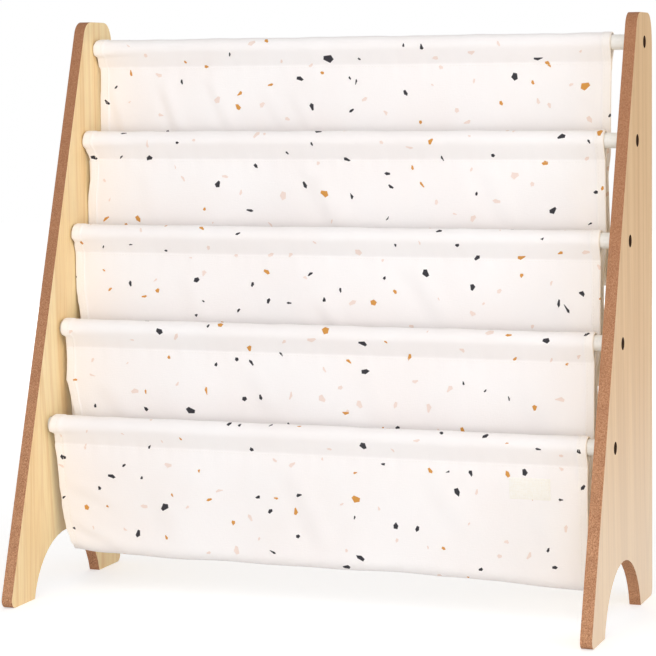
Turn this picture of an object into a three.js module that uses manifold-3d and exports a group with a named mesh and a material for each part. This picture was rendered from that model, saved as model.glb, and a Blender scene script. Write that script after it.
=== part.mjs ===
// A child's sling bookshelf: two flat side panels, five round rods between them, and a cloth sling
// that zigzags over the rods to make four book pockets. Millimetres, +Z up, front towards -Y.
// The origin is on the floor, in the middle of the width and the depth.
import * as THREE from "three";
import { mergeVertices } from "three/addons/utils/BufferGeometryUtils.js";
import Module from "manifold-3d";

const wasm = await Module();
wasm.setup();

// Clearances
const FIT_GAP = 0.3; // between pieces that touch
const OVERRUN = 2; // how far a cutter stands out of what it cuts

// Side panels
const SHELF_WIDTH = 628;
const PANEL_HEIGHT = 610;
const PANEL_THICK = 12;
const BASE_DEPTH = 268; // on the floor, out to the toe's sharp corner
const CROWN_DEPTH = 66.5; // along the top, out to its sharp front corner
const TOE_RADIUS = 8;
const HEEL_RADIUS = 8;
const BROW_RADIUS = 18; // the top's front corner
const CROWN_RUN = 22; // the top's rear corner falls in a longer curve
const CROWN_FALL = 36;
const FOOT_LENGTH = 55; // each foot, out to its sharp corner
const ARCH_HEIGHT = 61;

// Rods
const ROD_COUNT = 5;
const ROD_DIAMETER = 16;
const ROD_CHAMFER = 0.8;
const ROD_INSET = 41.2; // behind the panel's sloping front edge, measured level
const TOP_ROD_DROP = 30; // below the panel's top
const BOTTOM_ROD_HEIGHT = 180;
const ROD_SEAT_DEPTH = 3; // how far each end sits in its panel

// Bolts, and the threaded inserts that they run into
const BOLT_DIAMETER = 6;
const BOLT_LENGTH = 18; // under the head
const BOLT_CHAMFER = 0.8;
const HEAD_DIAMETER = 12;
const HEAD_THICK = 2.8;
const HEAD_EDGE = 0.6;
const SOCKET_WIDTH = 4; // across the flats
const SOCKET_DEPTH = 1.6;
const HEAD_CLEARANCE = 0.5; // round the head, in its counterbore
const COUNTERBORE_DEPTH = 5.5;
const INSERT_DIAMETER = 9.4;
const INSERT_LENGTH = 15;
const INSERT_CHAMFER = 0.6;
const INSERT_RUNOUT = 5; // rod bore left empty past the insert

// Sling
const CLOTH_THICK = 1.2;
const SLING_CLEARANCE = 11; // bare rod left at each end, were the cloth in the middle
const SLING_SHIFT_TOP = -9; // the cloth is pushed to one side, more at the top rod
const SLING_SHIFT_BOTTOM = -4;
const SLEEVE_GAP = 0.5; // between a rod and the sleeve round it
const SEAM_DROP = 14; // from a rod's underside to the stitching that closes its sleeve
const SEAM_FLAT = 8; // stretch above the stitching where the two layers lie together
const POCKET_DROP = 146; // from the front rod's centre to the pocket's lowest line
const POCKET_FRONT = 8; // how far behind its rod the front wall has drifted at the bend
const POCKET_REAR = 1; // how far in front of its rod the rear wall has drifted there
const POCKET_TILT = 9; // the bottoms hang lower at the right end by this much
const PULL_IN = 3; // each side edge draws in by this much, down at the bend
const FOLD_DEPTH = 2.2;
const FOLDS = 3; // soft upright folds across each wall
const FOLD_STEP_SHARE = 0.37; // how far the folds shift along from one pocket to the next

// Sewn label, on the front wall of the lowest pocket
const LABEL_WIDTH = 43;
const LABEL_HEIGHT = 22;
const LABEL_THICK = 0.6;
const LABEL_GAP = 0.5; // between the cloth and the label's back
const LABEL_INSET = 39; // from the sling's right edge
const LABEL_DROP = 44.5; // from the bottom rod's centre to the label's middle

// How finely the curves are cut
const OUTLINE_STEPS = 9;
const HOLE_SIDES = 20;
const BOLT_SIDES = 12;
const SLEEVE_STEPS = 12;
const WALL_STEPS = 6;
const BEND_STEPS = 8;
const FOLD_COLUMNS = 16;
const LABEL_COLUMNS = 4;
const LABEL_ROWS = 3;

const finish = (color, roughness, metalness = 0) =>
  new THREE.MeshStandardMaterial({ color, roughness, metalness });
const MAPLE = finish(0xe6c896, 0.55);
const WHITE_PAINT = finish(0xf6f5f2, 0.4);
const COTTON = finish(0xfaf3ee, 0.9);
const LABEL_CLOTH = finish(0xf8f0de, 0.9);
const BOLT_STEEL = finish(0x3a3836, 0.35, 1);
const INSERT_ZINC = finish(0xb9b4a8, 0.4, 1);

// Solids

function solidOf(geometry) {
  const bare = geometry.clone().deleteAttribute("normal").deleteAttribute("uv");
  const merged = mergeVertices(bare);
  return new wasm.Manifold(
    new wasm.Mesh({
      numProp: 3,
      vertProperties: merged.getAttribute("position").array,
      triVerts: new Uint32Array(merged.index.array),
    }),
  );
}

function geometryOf(solid) {
  const { vertProperties, triVerts } = solid.getMesh();
  const indexed = new THREE.BufferGeometry();
  indexed.setAttribute("position", new THREE.BufferAttribute(vertProperties, 3));
  indexed.setIndex(new THREE.BufferAttribute(triVerts, 1));
  const flat = indexed.toNonIndexed();
  flat.computeVertexNormals();
  return flat;
}

// A profile of [radius, height] pairs, spun round the height axis
function turned(profile, sides) {
  return new THREE.LatheGeometry(
    profile.map(([radius, height]) => new THREE.Vector2(radius, height)),
    sides,
  );
}

// A skin over a row of rings, each with as many points and going the same way round. Each end is
// closed across the ring, from its first half to its second.
function lofted(rings) {
  const around = rings[0].length;
  const faces = [];
  const quad = (a, b, c, d) => faces.push(a, b, c, a, c, d);
  for (let r = 1; r < rings.length; r++)
    for (let i = 0; i < around; i++) {
      const next = (i + 1) % around;
      const [near, far] = [(r - 1) * around, r * around];
      quad(near + i, near + next, far + next, far + i);
    }
  const last = (rings.length - 1) * around;
  for (let i = 0; i + 1 < around / 2; i++) {
    const mirror = around - 1 - i;
    quad(i, mirror, mirror - 1, i + 1);
    quad(last + i, last + i + 1, last + mirror - 1, last + mirror);
  }
  const points = rings.flat().flatMap((point) => point.toArray());
  const geometry = new THREE.BufferGeometry();
  geometry.setAttribute("position", new THREE.Float32BufferAttribute(points, 3));
  geometry.setIndex(faces);
  const flat = geometry.toNonIndexed();
  flat.computeVertexNormals();
  return flat;
}

// Cloth of even thickness round a line that is given at each station along the sling. Each line is
// a list of points that share one course, and thickness is added square to it in the Y-Z plane.
function clothSolid(stations, lineAt, thick) {
  return lofted(
    stations.map((station) => {
      const line = lineAt(station);
      const sides = [-1, 1].map((side) =>
        line.map((point, i) => {
          const before = line[Math.max(i - 1, 0)];
          const after = line[Math.min(i + 1, line.length - 1)];
          const course = new THREE.Vector2(after.y - before.y, after.z - before.z);
          course.setLength((side * thick) / 2);
          return new THREE.Vector3(point.x, point.y - course.y, point.z + course.x);
        }),
      );
      return [...sides[0], ...sides[1].reverse()];
    }),
  );
}

// Where things are

const SLOPE = (BASE_DEPTH - CROWN_DEPTH) / PANEL_HEIGHT; // how far the front edge leans back
const toeAngle = Math.atan2(PANEL_HEIGHT, BASE_DEPTH - CROWN_DEPTH);
const toeSetback = TOE_RADIUS * (1 / Math.tan(toeAngle / 2) - 1);
const CORNER_Y = -(BASE_DEPTH + toeSetback) / 2; // the toe's sharp corner
const REAR_Y = CORNER_Y + BASE_DEPTH;
const INNER_X = SHELF_WIDTH / 2 - PANEL_THICK;
const ROD_RADIUS = ROD_DIAMETER / 2;
const ROD_END_X = INNER_X + ROD_SEAT_DEPTH - FIT_GAP;
const slingWidth = 2 * (INNER_X - SLING_CLEARANCE);

const rods = Array.from({ length: ROD_COUNT }, (_, i) => {
  const top = PANEL_HEIGHT - TOP_ROD_DROP;
  const z = THREE.MathUtils.lerp(top, BOTTOM_ROD_HEIGHT, i / (ROD_COUNT - 1));
  return { y: CORNER_Y + SLOPE * z + ROD_INSET, z };
});
const rodStepY = rods[0].y - rods[1].y;

// Rigid pieces

// Rounds a corner of an outline that is drawn anticlockwise
function roundCorner(path, before, corner, after, radius) {
  const back = before.clone().sub(corner).normalize();
  const ahead = after.clone().sub(corner).normalize();
  const half = back.angleTo(ahead) / 2;
  const reach = radius / Math.tan(half);
  const middle = back.clone().add(ahead).setLength(radius / Math.sin(half));
  const start = back.clone().multiplyScalar(reach).sub(middle).angle();
  const end = ahead.clone().multiplyScalar(reach).sub(middle).angle();
  path.absarc(corner.x + middle.x, corner.y + middle.y, radius, start, end, false);
}

// The panel seen from its right: depth to the right, height up
function panelOutline() {
  const toe = new THREE.Vector2(CORNER_Y, 0);
  const heel = new THREE.Vector2(REAR_Y, 0);
  const crown = new THREE.Vector2(REAR_Y, PANEL_HEIGHT);
  const brow = new THREE.Vector2(REAR_Y - CROWN_DEPTH, PANEL_HEIGHT);
  const halfSpan = (BASE_DEPTH - 2 * FOOT_LENGTH) / 2;
  const archRadius = (halfSpan ** 2 + ARCH_HEIGHT ** 2) / (2 * ARCH_HEIGHT);
  const archMiddle = new THREE.Vector2(CORNER_Y + BASE_DEPTH / 2, ARCH_HEIGHT - archRadius);
  const archEnd = Math.atan2(-archMiddle.y, halfSpan);
  const outline = new THREE.Shape();
  roundCorner(outline, brow, toe, heel, TOE_RADIUS);
  outline.absarc(archMiddle.x, archMiddle.y, archRadius, Math.PI - archEnd, archEnd, true);
  roundCorner(outline, toe, heel, crown, HEEL_RADIUS);
  outline.lineTo(crown.x, crown.y - CROWN_FALL);
  outline.quadraticCurveTo(crown.x, crown.y, crown.x - CROWN_RUN, crown.y);
  roundCorner(outline, crown, brow, toe, BROW_RADIUS);
  outline.closePath();
  return outline;
}

// Turns a shape drawn in depth and height, and pushed along its own Z, to run along +X
const ACROSS = new THREE.Matrix4().makeBasis(
  new THREE.Vector3(0, 1, 0),
  new THREE.Vector3(0, 0, 1),
  new THREE.Vector3(1, 0, 0),
);

// Lays a turned piece along X, with its height axis pointing out of the panel on that side
function lieOutwards(geometry, side) {
  return geometry.rotateZ((-side * Math.PI) / 2);
}

// One stepped hole: the rod's seat from inside, the bolt's clearance, the counterbore from outside
function boltHole() {
  const seat = ROD_RADIUS + FIT_GAP;
  const shank = BOLT_DIAMETER / 2 + FIT_GAP;
  const counterbore = HEAD_DIAMETER / 2 + HEAD_CLEARANCE;
  const profile = [
    [0, -OVERRUN],
    [seat, -OVERRUN],
    [seat, ROD_SEAT_DEPTH],
    [shank, ROD_SEAT_DEPTH],
    [shank, PANEL_THICK - COUNTERBORE_DEPTH],
    [counterbore, PANEL_THICK - COUNTERBORE_DEPTH],
    [counterbore, PANEL_THICK + OVERRUN],
    [0, PANEL_THICK + OVERRUN],
  ];
  return turned(profile, HOLE_SIDES);
}

function sidePanel(side) {
  const settings = { depth: PANEL_THICK, bevelEnabled: false, curveSegments: OUTLINE_STEPS };
  const board = new THREE.ExtrudeGeometry(panelOutline(), settings).applyMatrix4(ACROSS);
  board.translate(side > 0 ? INNER_X : -INNER_X - PANEL_THICK, 0, 0);
  let solid = solidOf(board);
  for (const rod of rods) {
    const hole = lieOutwards(boltHole(), side).translate(side * INNER_X, rod.y, rod.z);
    solid = solid.subtract(solidOf(hole));
  }
  return geometryOf(solid);
}

const insertBore = INSERT_DIAMETER / 2 + FIT_GAP;
const INSERT_SEAT = ROD_END_X - FIT_GAP - INSERT_LENGTH; // the insert's inner end, from the middle

// A rod with a blind bore in each end for its threaded insert
function rodGeometry() {
  const boreEnd = INSERT_SEAT - INSERT_RUNOUT;
  const half = [
    [0, boreEnd],
    [insertBore, boreEnd],
    [insertBore, ROD_END_X],
    [ROD_RADIUS - ROD_CHAMFER, ROD_END_X],
    [ROD_RADIUS, ROD_END_X - ROD_CHAMFER],
  ];
  const mirrored = half.map(([radius, height]) => [radius, -height]);
  return lieOutwards(turned([...mirrored, ...half.toReversed()], HOLE_SIDES), 1);
}

// A sleeve with an inside thread, shown as its plain bore
function insertGeometry(side) {
  const outer = INSERT_DIAMETER / 2;
  const inner = BOLT_DIAMETER / 2 + FIT_GAP;
  const profile = [
    [inner, 0],
    [outer - INSERT_CHAMFER, 0],
    [outer, INSERT_CHAMFER],
    [outer, INSERT_LENGTH],
    [inner, INSERT_LENGTH],
    [inner, 0],
  ];
  return lieOutwards(turned(profile, BOLT_SIDES), side).translate(side * INSERT_SEAT, 0, 0);
}

const HEAD_SEAT = INNER_X + PANEL_THICK - COUNTERBORE_DEPTH + FIT_GAP; // under the head

// A flat round head with a hexagon socket, on a plain shank
function boltGeometry(side) {
  const shank = BOLT_DIAMETER / 2;
  const head = HEAD_DIAMETER / 2;
  const profile = [
    [0, -BOLT_LENGTH],
    [shank - BOLT_CHAMFER, -BOLT_LENGTH],
    [shank, -BOLT_LENGTH + BOLT_CHAMFER],
    [shank, 0],
    [head, 0],
    [head, HEAD_THICK - HEAD_EDGE],
    [head - HEAD_EDGE, HEAD_THICK],
    [0, HEAD_THICK],
  ];
  const socketRadius = SOCKET_WIDTH / 2 / Math.cos(Math.PI / 6);
  const socket = new THREE.CylinderGeometry(
    socketRadius,
    socketRadius,
    SOCKET_DEPTH + OVERRUN,
    6,
  );
  socket.translate(0, HEAD_THICK + (OVERRUN - SOCKET_DEPTH) / 2, 0);
  const solid = solidOf(turned(profile, BOLT_SIDES)).subtract(solidOf(socket));
  return lieOutwards(geometryOf(solid), side).translate(side * HEAD_SEAT, 0, 0);
}

// Cloth pieces

const layerOffset = (CLOTH_THICK + FIT_GAP) / 2; // each layer's middle, at a closed seam
const seamDepth = ROD_RADIUS + SEAM_DROP; // the stitching, below the rod's centre
const bendDepthAt = (along) => POCKET_DROP + POCKET_TILT * along;
const pocketBack = rodStepY - POCKET_REAR;
const bendRadius = (pocketBack - POCKET_FRONT) / 2;

// The sling's middle line leans with the height
function slingCentre(z) {
  const share = THREE.MathUtils.inverseLerp(rods[0].z, rods.at(-1).z, z);
  return THREE.MathUtils.lerp(SLING_SHIFT_TOP, SLING_SHIFT_BOTTOM, share);
}

// A point of the sling: along is -0.5 at its left edge and 0.5 at its right
function slingPoint(along, y, z, pull) {
  const width = slingWidth - 2 * PULL_IN * pull;
  return new THREE.Vector3(slingCentre(z) + along * width, y, z);
}

// How far a wall's soft folds stand out of it, from 0 to FOLD_DEPTH
function foldAt(along, pocket) {
  const turn = 2 * Math.PI * (FOLDS * along + FOLD_STEP_SHARE * pocket);
  return (FOLD_DEPTH * (1 - Math.cos(turn))) / 2;
}

// The loop over one rod: up the front layer, round the rod and down the rear layer
function sleeveLine(rod, along) {
  const radius = ROD_RADIUS + SLEEVE_GAP + CLOTH_THICK / 2;
  const flatTop = seamDepth - SEAM_FLAT;
  const reach = Math.hypot(layerOffset, flatTop);
  const tangent = Math.atan2(flatTop, layerOffset) - Math.acos(radius / reach);
  const front = [
    [-layerOffset, -seamDepth],
    [-layerOffset, -flatTop],
  ];
  const loop = [];
  for (let i = 0; i <= SLEEVE_STEPS; i++) {
    const angle = Math.PI + tangent - ((Math.PI + 2 * tangent) * i) / SLEEVE_STEPS;
    loop.push([radius * Math.cos(angle), radius * Math.sin(angle)]);
  }
  const rear = front.toReversed().map(([y, z]) => [-y, z]);
  return [...front, ...loop, ...rear].map(([y, z]) =>
    slingPoint(along, rod.y + y, rod.z + z, 0),
  );
}

// One layer that hangs from a rod's seam to the level of the bend. Side is -1 for the layer in
// front, 1 for the one behind, and drift is how far behind the rod it ends. Each point has the
// share of the way down.
function hangingLayer(rod, side, drift, along) {
  const top = new THREE.Vector2(rod.y + side * layerOffset, rod.z - seamDepth - FIT_GAP);
  const end = new THREE.Vector2(rod.y + drift, rod.z - bendDepthAt(along) + bendRadius);
  const third = (top.y - end.y) / 3;
  const curve = new THREE.CubicBezierCurve(
    top,
    new THREE.Vector2(top.x, top.y - third),
    new THREE.Vector2(end.x, end.y + third),
    end,
  );
  return curve.getPoints(WALL_STEPS).map((point, i) => ({ point, share: i / WALL_STEPS }));
}

// One pocket between two rods: down its rear wall, round the bend and up its front wall
function pocketLine(number, along) {
  const [rear, front] = [rods[number - 1], rods[number]];
  const lowest = number === rods.length - 1;
  const fold = foldAt(along, number);
  const hanging = hangingLayer(rear, -1, -POCKET_REAR, along);
  const bendZ = front.z - bendDepthAt(along) + bendRadius;
  const drop = hanging.at(-1).point.y - bendZ;
  const backWall = hanging.map(({ point, share }) => {
    const bulge = fold * Math.sin((Math.PI * share) / 2);
    return slingPoint(along, point.x - bulge, point.y, share);
  });
  for (let i = 1; i <= WALL_STEPS; i++) {
    const share = i / WALL_STEPS;
    const bulge = fold * Math.cos((Math.PI * share) / 2);
    const y = front.y + pocketBack - bulge;
    backWall.push(slingPoint(along, y, bendZ + drop * (1 - share), 1));
  }
  const middle = front.y + POCKET_FRONT + bendRadius;
  const bend = [];
  for (let i = 1; i < BEND_STEPS; i++) {
    const angle = (-Math.PI * i) / BEND_STEPS;
    const y = middle + bendRadius * Math.cos(angle);
    bend.push(slingPoint(along, y, bendZ + bendRadius * Math.sin(angle), 1));
  }
  const frontWall = frontWallLine(front, lowest ? -1 : 1, fold, along);
  return [...backWall, ...bend, ...frontWall];
}

// The front wall from the bend up to the seam of its rod
function frontWallLine(rod, side, fold, along) {
  return hangingLayer(rod, side, POCKET_FRONT, along)
    .toReversed()
    .map(({ point, share }) => {
      const bulge = fold * Math.sin(Math.PI * share);
      return slingPoint(along, point.x + bulge, point.y, share);
    });
}

const stationsAcross = (count) => Array.from({ length: count + 1 }, (_, i) => i / count - 0.5);

function sleeveGeometry(rod) {
  return clothSolid(stationsAcross(1), (along) => sleeveLine(rod, along), CLOTH_THICK);
}

function pocketGeometry(number) {
  const line = (along) => pocketLine(number, along);
  return clothSolid(stationsAcross(FOLD_COLUMNS), line, CLOTH_THICK);
}

// The label lies on the lowest front wall, and follows its curve at a small distance
function labelGeometry() {
  const rod = rods.at(-1);
  const middle = 0.5 - (LABEL_INSET + LABEL_WIDTH / 2) / slingWidth;
  const off = (CLOTH_THICK + LABEL_THICK) / 2 + LABEL_GAP;
  const line = (along) => {
    const wall = frontWallLine(rod, -1, foldAt(along, rods.length - 1), along);
    const rows = [];
    for (let i = 0; i <= LABEL_ROWS; i++) {
      const z = rod.z - LABEL_DROP + LABEL_HEIGHT * (i / LABEL_ROWS - 0.5);
      const above = wall.findIndex((point) => point.z > z);
      const [low, high] = [wall[above - 1], wall[above]];
      const share = THREE.MathUtils.inverseLerp(low.z, high.z, z);
      const point = low.clone().lerp(high, share);
      rows.push(new THREE.Vector3(point.x, point.y - off, point.z));
    }
    return rows;
  };
  const stations = stationsAcross(LABEL_COLUMNS).map(
    (share) => middle + (share * LABEL_WIDTH) / slingWidth,
  );
  return clothSolid(stations, line, LABEL_THICK);
}

// Assembly

const shelf = new THREE.Group();

function add(name, geometry, material, place) {
  const mesh = new THREE.Mesh(geometry, material);
  mesh.name = name;
  if (place) mesh.position.set(0, place.y, place.z);
  shelf.add(mesh);
}

const SIDES = { left: -1, right: 1 };

for (const [name, side] of Object.entries(SIDES))
  add(`side_panel_${name}`, sidePanel(side), MAPLE);

rods.forEach((rod, i) => {
  add(`rod_${i + 1}`, rodGeometry(), WHITE_PAINT, rod);
  for (const [name, side] of Object.entries(SIDES)) {
    add(`insert_${name}_${i + 1}`, insertGeometry(side), INSERT_ZINC, rod);
    add(`bolt_${name}_${i + 1}`, boltGeometry(side), BOLT_STEEL, rod);
  }
  add(`sling_sleeve_${i + 1}`, sleeveGeometry(rod), COTTON);
  if (i > 0) add(`sling_pocket_${i}`, pocketGeometry(i), COTTON);
});

add("sewn_label", labelGeometry(), LABEL_CLOTH);

export default shelf;
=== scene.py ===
"""A child's sling bookshelf: two maple-look side panels, five white rods and a printed cotton sling.

Lengths are in millimetres unless a name says otherwise, and meshes are made in metres.
"""
import math

import bmesh
import bpy
import numpy as np
from mathutils import Matrix, Vector


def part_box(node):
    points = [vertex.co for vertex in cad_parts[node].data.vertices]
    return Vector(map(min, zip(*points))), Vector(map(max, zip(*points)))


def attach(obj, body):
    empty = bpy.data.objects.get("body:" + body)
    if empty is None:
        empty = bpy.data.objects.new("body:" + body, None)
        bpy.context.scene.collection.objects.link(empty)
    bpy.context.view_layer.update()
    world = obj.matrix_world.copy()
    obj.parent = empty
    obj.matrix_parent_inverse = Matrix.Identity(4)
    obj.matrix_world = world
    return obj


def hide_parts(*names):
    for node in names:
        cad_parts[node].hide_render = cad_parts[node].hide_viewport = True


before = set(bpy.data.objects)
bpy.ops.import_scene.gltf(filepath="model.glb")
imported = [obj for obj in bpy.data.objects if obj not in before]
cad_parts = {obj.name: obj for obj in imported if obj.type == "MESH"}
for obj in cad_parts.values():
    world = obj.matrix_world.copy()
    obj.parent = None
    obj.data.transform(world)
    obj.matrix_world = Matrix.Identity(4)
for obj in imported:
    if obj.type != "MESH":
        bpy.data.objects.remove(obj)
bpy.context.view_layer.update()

MM = 0.001
SIDES = {"left": -1, "right": 1}


def node_box(node):
    """The lowest and highest corner of a solid of the frame, in millimetres."""
    return [np.array(corner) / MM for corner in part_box(node)]


def linked(name, data):
    """A new object in the scene."""
    made = bpy.data.objects.new(name, data)
    bpy.context.scene.collection.objects.link(made)
    return made


ROD_COUNT = 5
ROD_MIDDLES = [sum(node_box(f"rod_{i + 1}")) / 2 for i in range(ROD_COUNT)]

# Camera

IMAGE_WIDTH = 656  # pixels
FOCAL_LENGTH = 2407.7  # pixels
CAMERA_PLACE = (856.4, -2334.9, 545.0)
CAMERA_YAW = 19.622  # degrees to the left of straight ahead
CAMERA_PITCH = 4.047  # degrees downwards
CAMERA_ROLL = -0.56  # degrees
CAMERA_SHIFT = (-0.03, -0.12)  # shares of the image
SENSOR_WIDTH = 36.0


def make_camera():
    yaw, pitch, roll = (math.radians(a) for a in (CAMERA_YAW, CAMERA_PITCH, CAMERA_ROLL))
    ahead = Vector(
        (-math.sin(yaw) * math.cos(pitch), math.cos(yaw) * math.cos(pitch), -math.sin(pitch))
    )
    level = Vector((math.cos(yaw), math.sin(yaw), 0))
    above = level.cross(ahead)
    right = level * math.cos(roll) + above * math.sin(roll)
    up = above * math.cos(roll) - level * math.sin(roll)
    data = bpy.data.cameras.new("camera")
    data.sensor_width = SENSOR_WIDTH
    data.lens = FOCAL_LENGTH / IMAGE_WIDTH * SENSOR_WIDTH
    data.shift_x, data.shift_y = CAMERA_SHIFT
    camera = linked("camera", data)
    turn = Matrix((right, up, -ahead)).transposed().to_4x4()
    camera.matrix_world = Matrix.Translation(Vector(CAMERA_PLACE) * MM) @ turn
    bpy.context.scene.camera = camera


# Materials


class Nodes:
    """A node tree, with short calls for the nodes that the finishes share."""

    def __init__(self, tree):
        self.tree = tree

    def put(self, socket, value):
        if isinstance(value, bpy.types.NodeSocket):
            self.tree.links.new(value, socket)
        else:
            socket.default_value = value

    def node(self, kind, inputs=None, **settings):
        made = self.tree.nodes.new("ShaderNode" + kind)
        for name, value in settings.items():
            setattr(made, name, value)
        for name, value in (inputs or {}).items():
            self.put(made.inputs[name], value)
        return made

    def place(self):
        """Coordinates in metres, in the frame of the whole part."""
        return self.node("TexCoord").outputs["Object"]

    def attribute(self, name):
        return self.node("Attribute", attribute_name=name).outputs["Vector"]

    def vector(self, operation, a, b=(0, 0, 0), output="Vector"):
        return self.node("VectorMath", {0: a, 1: b}, operation=operation).outputs[output]

    def scaled(self, place, sizes):
        return self.vector("MULTIPLY", place, sizes)

    def moved(self, place, step):
        return self.vector("ADD", place, step)

    def parts(self, place):
        return self.node("SeparateXYZ", {0: place}).outputs

    def math(self, operation, a, b=0.0):
        return self.node("Math", {0: a, 1: b}, operation=operation).outputs["Value"]

    def times(self, a, b):
        return self.math("MULTIPLY", a, b)

    def noise(self, place, scale, detail=2.0, roughness=0.5):
        inputs = {"Vector": place, "Scale": scale, "Detail": detail, "Roughness": roughness}
        return self.node("TexNoise", inputs).outputs["Fac"]

    def draws(self, place):
        """Three numbers from 0 to 1 that belong to the place."""
        colour_out = self.node("TexWhiteNoise", {"Vector": place}).outputs["Color"]
        return self.node("SeparateColor", {"Color": colour_out}).outputs

    def step(self, value, low, high):
        """0 below low, 1 above high and smooth between."""
        inputs = {"Value": value, "From Min": low, "From Max": high}
        return self.node("MapRange", inputs, interpolation_type="SMOOTHSTEP").outputs["Result"]

    def between(self, value, low, high):
        """Turns 0 to 1 into low to high."""
        inputs = {"Value": value, "To Min": low, "To Max": high}
        return self.node("MapRange", inputs).outputs["Result"]

    def mix(self, share, a, b):
        mixed = self.node("Mix", data_type="RGBA")
        for index, value in ((0, share), (6, a), (7, b)):
            self.put(mixed.inputs[index], value)
        return mixed.outputs[2]

    def layers(self, tone, *layers):
        """Colours laid over a tone, each where its value runs from low to high, by a share."""
        for value, low, high, share, over in layers:
            tone = self.mix(self.times(self.step(value, low, high), share), tone, over)
        return tone

    def bump(self, height, depth, under=None):
        """A bump whose full height is depth, in metres, over another one."""
        inputs = {"Height": height, "Strength": 1.0, "Distance": depth}
        if under is not None:
            inputs["Normal"] = under
        return self.node("Bump", inputs).outputs["Normal"]


class Surface(Nodes):
    """A material with one shader, some of whose sockets can be set by name."""

    def __init__(self, name, **sockets):
        self.material = bpy.data.materials.new(name)
        self.material.use_nodes = True
        super().__init__(self.material.node_tree)
        self.tree.nodes.clear()
        self.shader = self.node("BsdfPrincipled", sockets)
        self.node("OutputMaterial", {"Surface": self.shader.outputs["BSDF"]})

    def finish(self, tone, roughness, *relief):
        values = (tone, roughness, *relief)
        for name, value in zip(("Base Color", "Roughness", "Normal"), values):
            self.put(self.shader.inputs[name], value)
        return self.material


def colour(*levels):
    """A display colour, 0 to 255, as the linear one that a shader takes."""
    shares = [level / 255 for level in levels]
    linear = [x / 12.92 if x <= 0.04045 else ((x + 0.055) / 1.055) ** 2.4 for x in shares]
    return (*linear, 1.0)


def laminate(name, pale, mid, dark, shift, foot_light_share):
    """Maple-look laminate: long arched figure and fine upright pores over slow pale bands. It
    pales towards the foot by that share, which is painted light from the floor."""
    s = Surface(name)
    place = s.moved(s.place(), shift)
    figure = s.noise(s.scaled(place, (1.0, 7.5, 0.75)), 1.0, 1, 0.4)
    rings = s.math("SINE", s.times(figure, math.tau * 15))
    fine_rings = s.math("SINE", s.times(figure, math.tau * 41))
    bands = s.noise(s.scaled(place, (9, 34, 1.1)), 1.0, 2, 0.5)
    grain = s.noise(s.scaled(place, (30, 200, 2.6)), 1.0, 3, 0.7)
    streaks = s.noise(s.scaled(place, (60, 520, 6)), 1.0, 3, 0.6)
    pores = s.noise(s.scaled(place, (300, 1900, 38)), 1.0, 2, 0.5)
    height = s.parts(s.place())["Z"]
    tone = s.layers(
        s.mix(s.step(bands, 0.32, 0.68), pale, mid),
        (rings, 0.45, 1.0, 0.3, dark),
        (fine_rings, 0.3, 1.0, 0.14, dark),
        (grain, 0.5, 0.66, 0.3, dark),
        (grain, 0.44, 0.3, 0.35, pale),
        (streaks, 0.5, 0.75, 0.3, dark),
        (pores, 0.6, 0.74, 0.28, colour(188, 146, 96)),
        # painted light: paler towards the foot, standing in for light bounced up from the floor
        (height, 0.3, 0.02, foot_light_share, colour(252, 237, 216)),
    )
    return s.finish(tone, s.between(streaks, 0.34, 0.46), s.bump(streaks, 0.00004))


def fibreboard(name, stain):
    """Bare fibreboard, as the boards' cut edges show it. The holes' walls are painted near black, as
    painted shade in the recesses.
    """
    s = Surface(name, **{"Specular IOR Level": 0.2})
    place = s.place()
    fibres = s.noise(s.scaled(place, (1300, 700, 700)), 1.0, 3, 0.75)
    patches = s.noise(place, 60.0, 3)
    flecks = s.noise(place, 760.0, 2)
    height = s.parts(place)["Z"]
    tone = s.layers(
        s.mix(s.step(fibres, 0.34, 0.66), colour(166, 112, 79), colour(216, 163, 124)),
        (patches, 0.4, 0.7, 0.25, colour(150, 104, 76)),
        (flecks, 0.56, 0.68, 0.6, colour(222, 176, 138)),
        (flecks, 0.42, 0.32, 0.5, colour(118, 74, 48)),
        # painted shade and light: darker towards the top, paler at the foot where floor light falls
        (height, 0.0, 0.5, 0.55, colour(154, 102, 71)),
    )
    # painted shade: the stain share darkens the finish to near black, standing in for shade inside
    # the bolt holes
    tone = s.mix(stain, tone, colour(28, 20, 16))
    return s.finish(tone, s.between(fibres, 0.74, 0.92), s.bump(fibres, 0.00014))


def laminate_lip():
    """The laminate's own thin edge, which shows as a pale line round each face."""
    s = Surface("laminate_lip")
    chips = s.noise(s.place(), 420.0, 3)
    tone = s.mix(s.step(chips, 0.35, 0.7), colour(236, 218, 190), colour(214, 186, 148))
    return s.finish(tone, s.between(chips, 0.5, 0.7), s.bump(chips, 0.00005))


def white_paint():
    """Satin white paint over a turned rod."""
    s = Surface("white_paint")
    place = s.place()
    brush = s.noise(s.scaled(place, (14, 420, 420)), 1.0, 3, 0.6)
    dust = s.noise(place, 240.0, 2)
    tone = s.mix(s.step(dust, 0.5, 0.8), colour(243, 243, 242), colour(236, 236, 235))
    return s.finish(tone, s.between(brush, 0.3, 0.46), s.bump(brush, 0.00005))


def steel(name, dark, pale, roughness):
    """Plated steel with fine turned marks."""
    s = Surface(name, Metallic=1.0)
    place = s.place()
    marks = s.noise(s.scaled(place, (400, 3000, 3000)), 1.0, 2)
    stain = s.noise(place, 600.0, 3)
    tone = s.mix(s.step(stain, 0.35, 0.7), dark, pale)
    roughness = s.between(marks, roughness - 0.08, roughness + 0.1)
    return s.finish(tone, roughness, s.bump(marks, 0.00002))


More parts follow.
